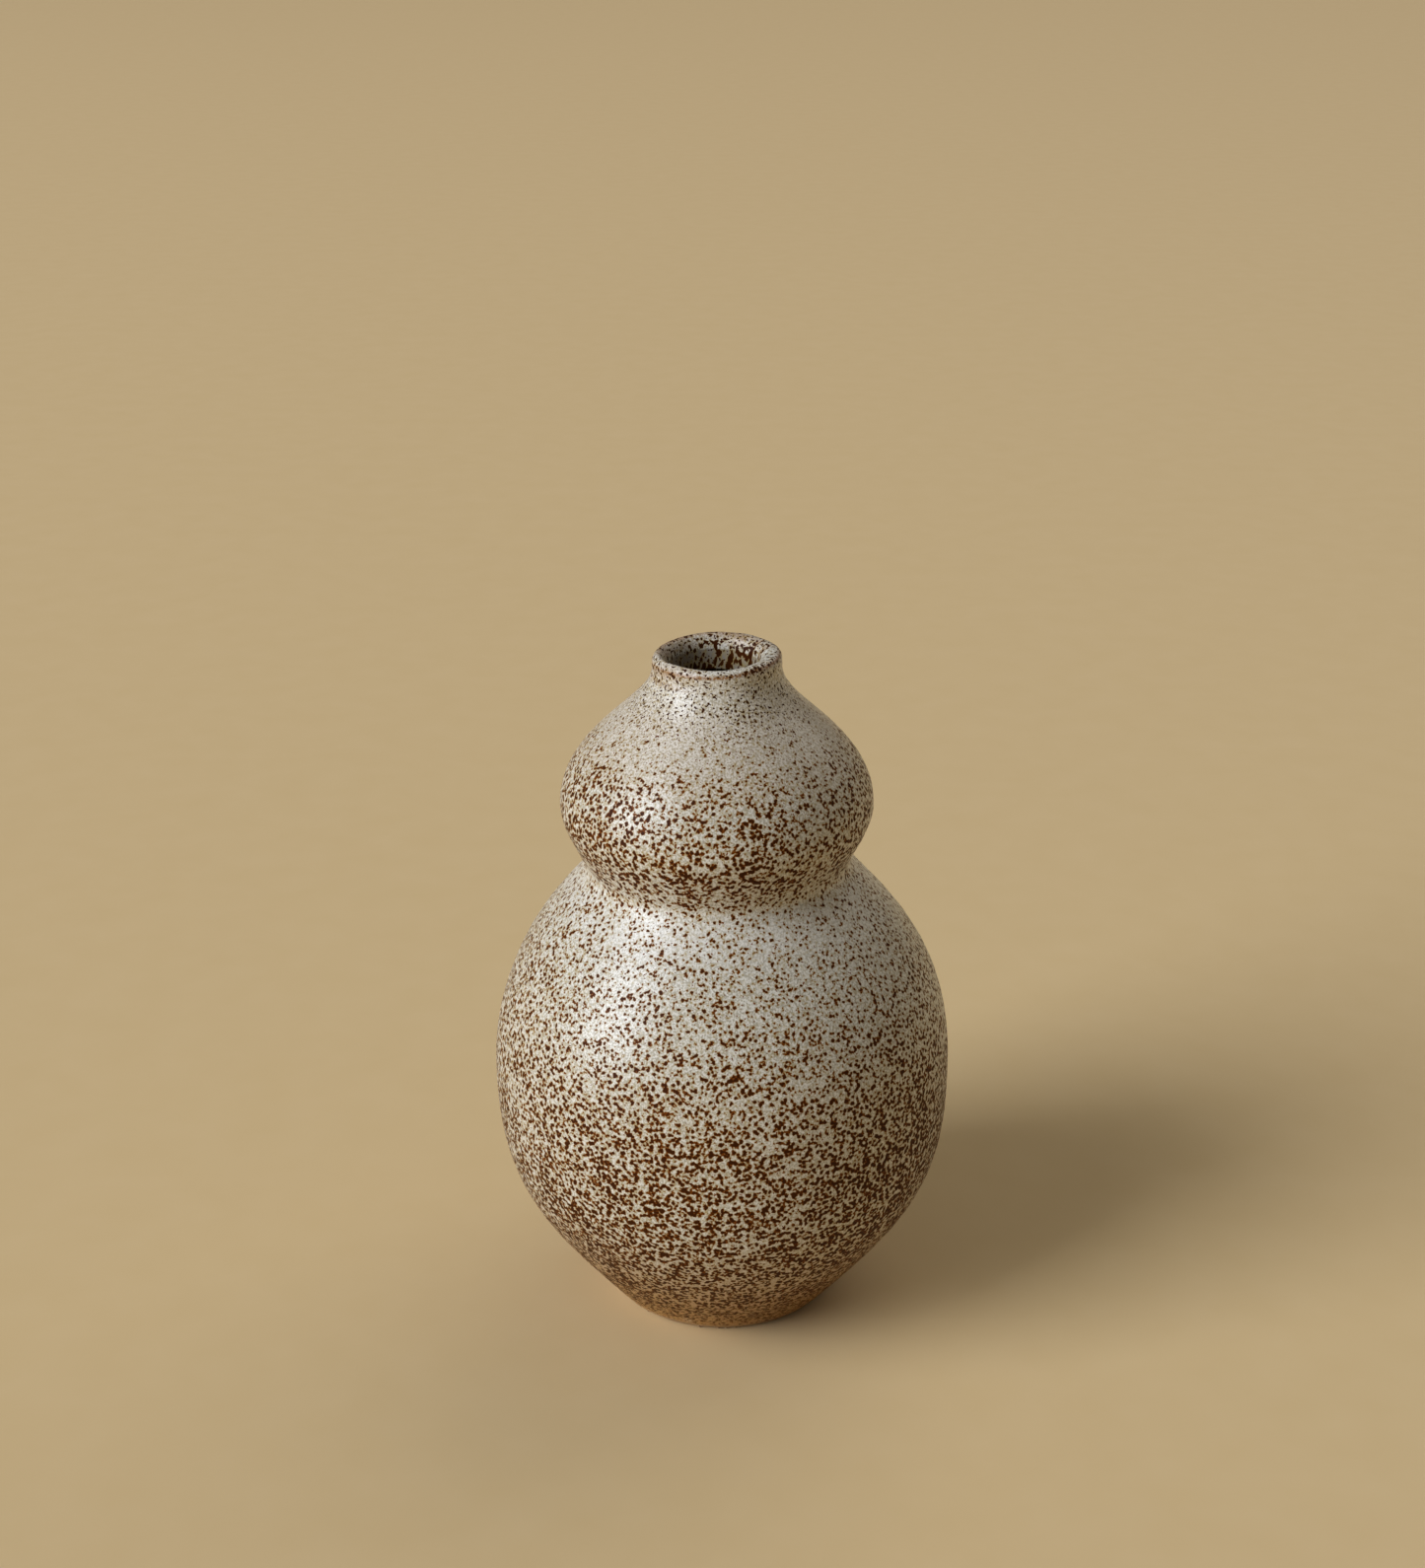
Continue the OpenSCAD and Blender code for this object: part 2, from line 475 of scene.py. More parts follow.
    def above_seam(self, points: np.ndarray) -> np.ndarray:
        """Height of each point over the middle of the seam, which falls towards the axis.

        Args:
            points: Points (radius, height).

        Returns:
            Heights over the seam, positive in the bulb.
        """
        fall = math.tan(math.radians(self.seam_slope))
        return points[:, 1] - self.waist_z + (self.waist_d / 2.0 - points[:, 0]) * fall

    def cut(self, points: np.ndarray, level: float, upper: bool) -> np.ndarray:
        """Keeps the part of a wall's surface on one side of the seam.

        Args:
            points: Points (radius, height) in order from the bottom up.
            level: Height over the seam's middle at which to cut.
            upper: True to keep what is above the cut.

        Returns:
            The kept points with the crossing itself at the cut end.
        """
        height = self.above_seam(points)
        crossing = np.array([[np.interp(level, height, points[:, k]) for k in (0, 1)]])
        if upper:
            return np.vstack([crossing, points[height > level + 0.02]])
        return np.vstack([points[height < level - 0.02], crossing])


@dataclass(frozen=True)
class ThrownHand:
    """What the potter's hands leave on the round form: one smooth bend of space for every piece.

    Lengths are millimetres, directions are degrees round the axis from +X towards +Y.
    """

    outline: GourdOutline
    globe_lean: float = -0.5
    bulb_lean: float = -0.9
    neck_return: float = 0.15
    swell: float = 0.16
    ridge_pitch: float = 5.4
    ridge_depth: float = 0.035
    lip_tilt: float = 0.3
    lip_wave: float = 0.12
    lip_bump: float = 0.2
    bump_at: float = 58.0
    mouth_shift: float = -0.75
    crease_at: float = 38.0
    crease_spread: float = 23.0
    crease_pitch: float = 0.72
    crease_depth: float = 0.38
    crowding: float = 3.0
    crowd_spread: float = 24.0

    def around(self, count: int) -> np.ndarray:
        """Directions of the section's copies, closer together where the lip is creased.

        The density of copies is 1 + crowding x exp(-(angle from the creases / spread)^2). Its
        running sum, scaled to one turn, is turned round by interpolation.

        Args:
            count: Number of copies.

        Returns:
            Angles in radians, one turn without the last.
        """
        fine = np.linspace(-math.pi, math.pi, 4097)
        density = 1.0 + self.crowding * hump(fine, 0.0, math.radians(self.crowd_spread))
        turn = np.concatenate([[0.0], np.cumsum((density[1:] + density[:-1]) / 2.0)])
        return math.radians(self.crease_at) + np.interp(np.arange(count) / count, turn / turn[-1], fine)

    def creases(self, r: np.ndarray, theta: np.ndarray, z: np.ndarray) -> np.ndarray:
        """Depth of the fine creases that the tool pushed up on the lip's inner rounding.

        A crease is the cube of (1 + cos) / 2 along the rim, at an uneven pitch, under a bell round
        their middle, and fades out over the crest and down the throat.

        Args:
            r: Radii.
            theta: Angles in radians.
            z: Heights.

        Returns:
            Depth at each point.
        """
        o = self.outline
        angle = turn_from(theta, math.radians(self.crease_at))
        cycles = (o.throat_r + 1.5) / self.crease_pitch
        uneven = angle + 0.035 * np.sin(7.0 * angle + 0.6) + 0.012 * np.sin(23.0 * angle)
        lean = 0.02 * (z - o.neck_z)
        groove = ((1.0 + np.cos(cycles * (uneven + lean))) / 2.0) ** 3
        depth = 0.65 + 0.35 * np.sin(11.0 * angle + 1.0)
        place = (1.0 - rise(r, o.neck_r - 2.4, o.neck_r - 1.2)) * rise(z, o.neck_z - 4.0, o.neck_z + 0.5)
        spread = hump(angle, 0.0, math.radians(self.crease_spread))
        return self.crease_depth * groove * depth * place * spread

    def bend(self, r: np.ndarray, theta: np.ndarray, z: np.ndarray) -> np.ndarray:
        """Takes points of the true round form to where the potter's hands left them.

        The radius gains slow swellings of two and three lobes that turn with height, and a shallow
        spiral of throwing ridges. The axis leans as smooth steps of height, with the bulb set off
        at the waist. The lip tilts, waves and has one bump, and the mouth sits off centre in it.

        Args:
            r: Radii on the round form.
            theta: Angles in radians.
            z: Heights.

        Returns:
            Points x, y, z in millimetres, shape (..., 3).
        """
        o = self.outline
        free = rise(r, 0.0, 9.0) * rise(z, 0.0, 14.0)
        lobes = np.cos(2 * theta + 0.035 * z + 0.7) + 0.7 * np.sin(3 * theta - 0.05 * z)
        lobes = lobes + 0.6 * np.sin(0.16 * z + 2.0 * np.cos(theta + 0.9))
        calm = 1.0 - 0.75 * rise(z, o.bulb_z + 14.0, o.neck_z)
        spiral = np.sin(2 * math.pi * z / self.ridge_pitch + theta + 0.8 * np.sin(z / 11.0))
        spiral = spiral * (0.6 + 0.4 * np.sin(2 * theta + z / 13.0))
        outward = (self.swell * lobes + self.ridge_depth * spiral) * free * calm
        crease = self.creases(r, theta, z)
        lip = rise(z, o.neck_z - 9.0, o.neck_z + 1.0)
        mouth = rise(z, o.neck_z - 20.0, o.neck_z) * (1.0 - rise(r, o.throat_r + 0.5, o.neck_r - 0.4))
        reach = r + outward + 0.6 * crease
        lean = self.globe_lean * rise(z, o.waist_z - 29.5, o.waist_z - 3.5)
        lean = lean + self.bulb_lean * rise(z, o.waist_z - 4.0, o.waist_z + 3.0)
        lean = lean + self.neck_return * rise(z, o.bulb_z + 10.0, o.neck_z)
        x = reach * np.cos(theta) + lean + self.mouth_shift * mouth
        y = reach * np.sin(theta)
        wave = self.lip_wave * np.cos(3 * theta + 0.9) + 0.4 * self.lip_wave * np.sin(5 * theta)
        bump = self.lip_bump * hump(turn_from(theta, math.radians(self.bump_at)), 0.0, 0.24)
        up = lip * (self.lip_tilt * r / o.neck_r * np.cos(theta) + wave + bump) - 0.8 * crease
        return np.stack([x, y, z + up], -1)


@dataclass
class RevolvedShell:
    """A closed surface: a section carried round the axis and bent by the potter's hand.

    The section runs anticlockwise with radius to the right and height up, so the faces look
    outwards. It is either a loop, or an open line with both ends on the axis.
    """

    name: str
    section: np.ndarray
    hand: ThrownHand
    copies: int
    marks: dict[Mark, np.ndarray] = field(default_factory=dict)

    @property
    def poled(self) -> bool:
        """True if the section's two ends lie on the axis."""
        return bool(self.section[0, 0] < 1e-6 and self.section[-1, 0] < 1e-6)

    def grid(self) -> tuple[np.ndarray, np.ndarray, np.ndarray]:
        """The round form's radius, angle and height at every point.

        Returns:
            Three arrays of shape (section points, copies).
        """
        theta = np.broadcast_to(self.hand.around(self.copies), (len(self.section), self.copies))
        r = np.repeat(self.section[:, :1], self.copies, axis=1)
        z = np.repeat(self.section[:, 1:], self.copies, axis=1)
        return r, theta, z

    def gather(self, values: np.ndarray) -> np.ndarray:
        """Lines up grid values as vertices, with one vertex for each pole.

        Args:
            values: Array of shape (section points, copies, ...).

        Returns:
            Array of shape (vertices, ...).
        """
        if not self.poled:
            return values.reshape(-1, *values.shape[2:])
        rings = values[1:-1].reshape(-1, *values.shape[2:])
        return np.concatenate([rings, values[:1].mean(1), values[-1:].mean(1)])

    def faces(self) -> tuple[np.ndarray, np.ndarray]:
        """Quads between neighbouring rings, and a fan of triangles at each pole.

        Returns:
            Quads of shape (q, 4) and triangles of shape (t, 3).
        """
        n = self.copies
        rows = len(self.section) - (2 if self.poled else 0)
        here = np.arange(n)
        after = (here + 1) % n
        low = np.arange(rows - 1 if self.poled else rows)[:, None] * n
        high = (low + n) % (rows * n)
        quads = np.stack([low + here, low + after, high + after, high + here], -1).reshape(-1, 4)
        if not self.poled:
            return quads, np.zeros((0, 3), int)
        last = (rows - 1) * n
        first_fan = np.stack([np.full(n, rows * n), after, here], 1)
        last_fan = np.stack([last + here, last + after, np.full(n, rows * n + 1)], 1)
        return quads, np.vstack([first_fan, last_fan])

    def build(self) -> bpy.types.Object:
        """Bends the grid, puts it into a mesh and writes the marks on it.

        Returns:
            The finished object.
        """
        points = self.gather(self.hand.bend(*self.grid()))
        piece = put_mesh(self.name, points, *self.faces())
        for mark, values in self.marks.items():
            layer = piece.data.attributes.new(mark.value, "FLOAT", "POINT")
            layer.data.foreach_set("value", self.gather(values).astype(np.float32))
        return piece


@dataclass(frozen=True)
class IronSpeckle:
    """How thickly the iron flecks lie, and the noise level that gives that cover.

    Cover is the share of the surface that flecks take. The flecks are the part of a noise with
    middle `noise_middle` and spread `noise_spread` that lies over a cut, so the cut for a cover c is
    middle + spread x ln((1 - c) / c) / 1.7, which is close to the normal curve's own figure.
    """

    outline: GourdOutline
    noise_middle: float = 0.2335
    noise_spread: float = 0.158
    heights: tuple[float, ...] = (
        1.5, 4, 9, 14, 22, 34, 45, 55, 65, 75, 84, 92, 98, 104, 108, 114, 120, 125, 128, 133, 139, 150
    )
    covers: tuple[float, ...] = (
        0.14, 0.38, 0.54, 0.60, 0.57, 0.56, 0.51, 0.46, 0.38, 0.31, 0.24,
        0.17, 0.11, 0.14, 0.44, 0.45, 0.36, 0.33, 0.22, 0.05, 0.03, 0.06,
    )
    clear_side: float = -78.0
    clear_spread: float = 62.0
    globe_clear: float = 0.36
    globe_clear_z: float = 84.0
    bulb_clear: float = 0.20
    bulb_clear_z: float = 121.0
    throat_side: float = 62.0
    sponge_z: float = 11.0

    def cut(self, cover: np.ndarray) -> np.ndarray:
        """The noise level that leaves this cover above it.

        Args:
            cover: Share of the surface, from 0 to 1.

        Returns:
            The level at each point.
        """
        c = np.clip(cover, 0.005, 0.9)
        return self.noise_middle + self.noise_spread * np.log((1.0 - c) / c) / 1.7

    def outside(self, theta: np.ndarray, z: np.ndarray) -> np.ndarray:
        """Cover outside: by height, with slow waves round the vase.

        On the side where the glaze lies thickest, a bell-shaped patch on the upper globe and one
        round the bulb's widest line take away up to the shares `globe_clear` and `bulb_clear`.

        Args:
            theta: Angles in radians.
            z: Heights.

        Returns:
            Cover at each point.
        """
        away = turn_from(theta, math.radians(self.clear_side))
        facing = hump(away, 0.0, math.radians(self.clear_spread))
        clear = self.globe_clear * hump(z, self.globe_clear_z, 20.0)
        clear = clear + self.bulb_clear * hump(z, self.bulb_clear_z, 6.0)
        sway = 1.0 + 0.09 * np.sin(2 * theta + z / 17.0) + 0.07 * np.sin(5 * theta - z / 23.0 + 1.0)
        return np.interp(z, self.heights, self.covers) * sway * (1.0 - clear * facing)

    def throat(self, theta: np.ndarray, z: np.ndarray) -> np.ndarray:
        """Cover inside: heavy below the lip, most of all towards the back right.

        Args:
            theta: Angles in radians.
            z: Heights.

        Returns:
            Cover at each point.
        """
        side = 0.5 + 0.5 * np.cos(turn_from(theta, math.radians(self.throat_side)))
        deep = 1.0 - rise(z, self.outline.neck_z - 7.0, self.outline.neck_z + 0.8)
        below_lip = 1.0 - rise(z, self.outline.neck_z + 0.3, self.outline.neck_z + 2.7)
        return 0.06 + deep * (0.13 + 0.30 * side) + 0.34 * below_lip * side**4

    def run_down(self, z: np.ndarray) -> np.ndarray:
        """Slide that draws the pattern out downwards in the throat.

        Height over the neck's top shrinks to half of itself, fading out up the lip's inner rounding.

        Args:
            z: Heights.

        Returns:
            Millimetres to add to each height.
        """
        neck = self.outline.neck_z
        return -0.5 * (z - neck) * (1.0 - rise(z, neck + 0.5, neck + 2.8))

    def wiped_round(self, z: np.ndarray) -> np.ndarray:
        """Slide that presses the pattern flat where the sponge went round the foot.

        Height under the sponge's line doubles its distance from there, fading in over 8 mm.

        Args:
            z: Heights.

        Returns:
            Millimetres to add to each height.
        """
        return (z - self.sponge_z) * (1.0 - rise(z, self.sponge_z - 4.0, self.sponge_z + 4.0))


class Zone(Enum):
    """Zones of a fleck, from its outermost stain to its dark middle.

    Each is the pair of levels over the cut, at which it begins and is full.
    """

    BLEED = (-0.32, -0.05)
    HALO = (-0.09, 0.0)
    FLECK = (-0.022, 0.018)
    CORE = (0.03, 0.17)


@dataclass(frozen=True)
class SatinSpeckleGlaze:
    """Satin tin-white glaze over iron-bearing stoneware, dipped and fired in reduction.

    To the eye: a soft grey-white skin with a granular sheen, through which iron grains in the clay
    bleed as sharp rust-brown flecks with amber edges. It goes tan towards the foot, partly where it
    thins over the clay and partly as painted shade and warm bounce, whiter where it pools, and ochre
    where it breaks over the lip's edge.
    """

    name: str
    ground: str = "#D8D3C6"
    mottle: str = "#9C927B"
    # pale of thick glaze, also used for a painted highlight low on the foot
    pooled_and_glint: str = "#E2DED6"
    # tan of glaze thin over the clay, also used as painted shade and warm bounce low on the globe and on the
    # upper bulb
    thinned_and_shaded: str = "#A97632"
    amber: str = "#9C8340"
    rust: str = "#6E3706"
    core: str = "#2E1201"
    # ochre-brown of iron stain and of the glaze's break at the lip, also laid as painted shade in the
    # creases' grooves
    edge: str = "#85561C"
    fleck_mm: float = 0.98
    smear_mm: float = 0.80
    clump_mm: float = 5.0
    roundness: float = 0.75
    clumping: float = 0.25
    dot_mm: float = 0.50
    dot_level: tuple[float, float] = (0.735, 0.79)
    pepper_gain: float = 0.085
    grain_mm: float = 0.42
    cloud_mm: float = 11.0
    ior: float = 1.5
    satin: float = 0.32
    fleck_rough: float = 0.50
    gloss: float = 0.5
    fleck_gloss: float = 0.08
    fleck_sink: float = 0.15
    relief_mm: float = 0.05

    def material(self) -> bpy.types.Material:
        """Builds the glaze's nodes.

        Returns:
            The material.
        """
        material, tree, place = new_material(self.name)
        marks = {
            mark: add_node(tree, "ShaderNodeAttribute", attribute_name=mark.value).outputs["Fac"]
            for mark in Mark
        }
        over, dots = self._flecks(tree, place, marks)
        level = {
            zone: add_node(
                tree, "ShaderNodeMapRange", {"From Min": zone.value[0], "From Max": zone.value[1]},
                {"Value": over}, interpolation_type="SMOOTHSTEP",
            ).outputs["Result"]
            for zone in Zone
        }
        grain, cloud = (
            add_node(
                tree, "ShaderNodeTexNoise", {"Scale": 1 / (size * MM), "Detail": detail}, {"Vector": place}
            ).outputs["Fac"]
            for size, detail in ((self.grain_mm, 2.0), (self.cloud_mm, 3.0))
        )
        fleck = add_node(
            tree, "ShaderNodeMath", links={0: level[Zone.FLECK], 1: dots}, operation="MAXIMUM"
        ).outputs["Value"]
        rough, gloss = (
            add_node(
                tree, "ShaderNodeMapRange", {"To Min": ground, "To Max": iron}, {"Value": fleck}
            ).outputs["Result"]
            for ground, iron in ((self.satin, self.fleck_rough), (self.gloss, self.fleck_gloss))
        )
        height = add_node(
            tree, "ShaderNodeMath", {1: -self.fleck_sink}, {0: fleck, 2: grain}, operation="MULTIPLY_ADD"
        ).outputs["Value"]
        bump = add_node(tree, "ShaderNodeBump", {"Distance": self.relief_mm * MM}, {"Height": height})
        put_shader(tree, {"IOR": self.ior}, {
            "Base Color": self._colour(tree, marks, level, fleck, grain, cloud), "Roughness": rough,
            "Specular IOR Level": gloss, "Normal": bump.outputs["Normal"],
        })
        return material

    def _flecks(
        self, tree: bpy.types.NodeTree, place: Socket, marks: dict[Mark, Socket]
    ) -> tuple[Socket, Socket]:
        """The iron noise over its cut, and a sparse layer of finer dots.

        The iron is a noise that smears it, less a share of the distance to the nearest grain, plus
        a little of a broad noise that draws it into clumps. The slide in height draws it out into
        runs down the throat and presses it flat round the foot.

        Args:
            tree: The material's node tree.
            place: The piece's own coordinates.
            marks: The coat's marks.

        Returns:
            How far the noise is over the cut, and the dots from 0 to 1.
        """
        lift = add_node(tree, "ShaderNodeCombineXYZ", links={"Z": marks[Mark.SLIDE]}).outputs["Vector"]
        slid = add_node(
            tree, "ShaderNodeVectorMath", links={0: place, 1: lift}, operation="ADD"
        ).outputs["Vector"]
        off_grain = add_node(
            tree, "ShaderNodeTexVoronoi", {"Scale": 1 / (self.fleck_mm * MM)}, {"Vector": slid}
        ).outputs["Distance"]
        smear, clump, fine = (
            add_node(
                tree, "ShaderNodeTexNoise", {"Scale": 1 / (size * MM), "Detail": detail}, {"Vector": where}
            ).outputs["Fac"]
            for size, detail, where in (
                (self.smear_mm, 1.0, slid), (self.clump_mm, 1.0, place), (self.dot_mm, 0.0, place),
            )
        )
        iron = add_node(
            tree, "ShaderNodeMath", {1: -self.roundness}, {0: off_grain, 2: smear}, operation="MULTIPLY_ADD"
        ).outputs["Value"]
        clumped = add_node(
            tree, "ShaderNodeMath", {1: self.clumping}, {0: clump, 2: iron}, operation="MULTIPLY_ADD"
        ).outputs["Value"]
        over = add_node(
            tree, "ShaderNodeMath", links={0: clumped, 1: marks[Mark.FLECK_CUT]}, operation="SUBTRACT"
        ).outputs["Value"]
        thicker = add_node(
            tree, "ShaderNodeMath", {1: self.pepper_gain}, {0: marks[Mark.PEPPER], 2: fine},
            operation="MULTIPLY_ADD",
        ).outputs["Value"]
        low, high = self.dot_level
        dots = add_node(
            tree, "ShaderNodeMapRange", {"From Min": low, "From Max": high}, {"Value": thicker},
            interpolation_type="SMOOTHSTEP",
        ).outputs["Result"]
        return over, dots

    def _colour(
        self,
        tree: bpy.types.NodeTree,
        marks: dict[Mark, Socket],
        level: dict[Zone, Socket],
        fleck: Socket,
        grain: Socket,
        cloud: Socket,
    ) -> Socket:
        """Lays the glaze's colours over each other, from the ground up to the flecks' dark cores.

        Input 6 of a Mix node is the colour below and input 7 the one laid over it.

        Args:
            tree: The material's node tree.
            marks: The coat's marks.
            level: The flecks' zones, from 0 to 1.
            fleck: Flecks and dots together, from 0 to 1.
            grain: Fine noise of the glaze's grain.
            cloud: Broad noise of its thickness.

        Returns:
            The colour.
        """
        grained, clouded, torn = (
            add_node(
                tree, "ShaderNodeMapRange",
                {"From Min": low, "From Max": high, "To Min": least, "To Max": most}, {"Value": source},
            ).outputs["Result"]
            for source, low, high, least, most in (
                (grain, 0.43, 0.60, 0.0, 0.85),
                (cloud, 0.35, 0.65, 0.0, 1.0),
                (grain, 0.40, 0.56, 0.55, 1.0),
            )
        )
        broken_and_crease_shade, stained, dark_speck = (
            add_node(tree, "ShaderNodeMath", links={0: one, 1: other}, operation="MULTIPLY").outputs["Value"]
            for one, other in (
                (marks[Mark.BREAK], torn), (marks[Mark.STAIN], clouded), (fleck, marks[Mark.PEPPER]),
            )
        )
        core = add_node(
            tree, "ShaderNodeMath", links={0: level[Zone.CORE], 1: dark_speck}, operation="MAXIMUM"
        ).outputs["Value"]
        layers = [
            (grained, self.mottle, 1.0),
            # pale where the glaze pools, plus a painted highlight low on the foot
            (marks[Mark.THICK], self.pooled_and_glint, 0.45),
            # tan: thin glaze, plus painted shade and warm bounce towards the foot and on the upper bulb
            (marks[Mark.THIN], self.thinned_and_shaded, 1.0),
            (stained, self.edge, 0.75),
            (level[Zone.BLEED], self.amber, 0.38),
            (level[Zone.HALO], self.amber, 0.75),
            # brown of the break at the lip, and painted shade in the creases' grooves
            (broken_and_crease_shade, self.edge, 1.0),
            (fleck, self.rust, 1.0),
            (core, self.core, 0.9),
        ]
        below: dict[int, Socket] = {}
        for share, paint, strength in layers:
            amount = add_node(
                tree, "ShaderNodeMath", {1: strength}, {0: share}, operation="MULTIPLY", use_clamp=True
            ).outputs["Value"]
            below = {6: add_node(
                tree, "ShaderNodeMix", {6: linear(self.ground), 7: linear(paint)}, {0: amount, **below},
                data_type="RGBA",
            ).outputs[2]}
        return below[6]


@dataclass(frozen=True)
class BareStoneware:
    """Iron-bearing stoneware left bare at the foot: turned, sponged and fired.

    To the eye: matt sandy tan with dark iron grains, the turning tool's rings and no gloss.
    """

    name: str = "bare_iron_stoneware"
    body: str = "#A98A63"
    flashed: str = "#93704A"
    iron: str = "#4A2C17"
    pale: str = "#C0A57F"
    grit_mm: float = 0.55
    cloud_mm: float = 9.0
    ring_mm: float = 1.3
    ring_relief: float = 0.35
    relief_mm: float = 0.10
    ior: float = 1.5
    matt: float = 0.88

    def material(self) -> bpy.types.Material:
        """Builds the clay's nodes: clouds of flashing, pale and dark grit, and turned rings.

        Returns:
            The material.
        """
        material, tree, place = new_material(self.name)
        cloud, grit = (
            add_node(
                tree, "ShaderNodeTexNoise", {"Scale": 1 / (size * MM), "Detail": 3.0}, {"Vector": place}
            ).outputs["Fac"]
            for size in (self.cloud_mm, self.grit_mm)
        )
        rings = add_node(
            tree, "ShaderNodeTexWave",
            {"Scale": 1 / (self.ring_mm * MM * math.pi), "Distortion": 1.2, "Detail": 1.0},
            {"Vector": place}, wave_type="RINGS", rings_direction="Z",
        ).outputs["Fac"]
        below: dict[int, Socket] = {}
        for source, low, high, paint in (
            (cloud, 0.40, 0.65, self.flashed), (rings, 0.75, 1.0, self.flashed),
            (grit, 0.40, 0.25, self.pale), (grit, 0.62, 0.68, self.iron),
        ):
            share = add_node(
                tree, "ShaderNodeMapRange", {"From Min": low, "From Max": high, "To Max": 0.8},
                {"Value": source},
            ).outputs["Result"]
            below = {6: add_node(
                tree, "ShaderNodeMix", {6: linear(self.body), 7: linear(paint)}, {0: share, **below},
                data_type="RGBA",
            ).outputs[2]}
        height = add_node(
            tree, "ShaderNodeMath", {1: self.ring_relief}, {0: rings, 2: grit}, operation="MULTIPLY_ADD"
        ).outputs["Value"]
        bump = add_node(tree, "ShaderNodeBump", {"Distance": self.relief_mm * MM}, {"Height": height})
        put_shader(
            tree, {"IOR": self.ior, "Roughness": self.matt},
            {"Base Color": below[6], "Normal": bump.outputs["Normal"]},
        )
        return material


@dataclass(frozen=True)
class FiredSlip:
    """The same clay as a thick slip, brushed on and fired: smoother, a shade darker, dead matt."""

    name: str = "fired_luting_slip"
    body: str = "#92755A"
    wet: str = "#7C6049"
    brush_mm: float = 2.2
    ior: float = 1.5
    matt: float = 0.92

    def material(self) -> bpy.types.Material:
        """Builds the slip's nodes: two browns in brushed clouds.

        Returns:
            The material.
        """
        material, tree, place = new_material(self.name)
        brushed = add_node(
            tree, "ShaderNodeTexNoise", {"Scale": 1 / (self.brush_mm * MM), "Detail": 3.0},
            {"Vector": place},
        ).outputs["Fac"]
        colour = add_node(
            tree, "ShaderNodeMix", {6: linear(self.body), 7: linear(self.wet)}, {0: brushed},
            data_type="RGBA",
        ).outputs[2]
        put_shader(tree, {"IOR": self.ior, "Roughness": self.matt}, {"Base Color": colour})
        return material


@dataclass(frozen=True)
class StudioCard:
    """Plain matt card under the vase, a warm pale sand."""

    name: str = "pale_sand_card"
    sheet: str = "#D6BA8A"
    fibre: str = "#D2B583"
    fibre_mm: float = 14.0
    matt: float = 0.85

    def material(self) -> bpy.types.Material:
        """Builds the card's nodes: one pale colour with a barely seen cloud.

        Returns:
            The material.
        """
        material, tree, place = new_material(self.name)
        cloud = add_node(
            tree, "ShaderNodeTexNoise", {"Scale": 1 / (self.fibre_mm * MM), "Detail": 2.0},
            {"Vector": place},
        ).outputs["Fac"]
        colour = add_node(
            tree, "ShaderNodeMix", {6: linear(self.sheet), 7: linear(self.fibre)}, {0: cloud},
            data_type="RGBA",
        ).outputs[2]
        put_shader(tree, {"Roughness": self.matt}, {"Base Color": colour})
        return material


@dataclass
class VasePiece:
    """One physical piece of the vase, with its place in the frame."""

    outline: GourdOutline
    hand: ThrownHand
    copies: int = 400

    def settle(
        self, piece: bpy.types.Object, node: str | None, slot: Slot, material: bpy.types.Material
    ) -> bpy.types.Object:
        """Dresses a piece and ties it to the frame.

        Args:
            piece: The finished object.
            node: The CAD node that it stands for, if there is one.
            slot: The record's slot that its finish belongs to; not used.
            material: Its finish.

        Returns:
            The same object.
        """
        piece.data.materials.append(material)
        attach(piece, BODY)
        if node:
            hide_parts(node)
        triangles = sum(len(p.vertices) - 2 for p in piece.data.polygons)
        LOG.info(
            "%s: %d triangles, %s, stands for %s",
            piece.name, triangles, material.name, node or "nothing in CAD",
        )
        return piece


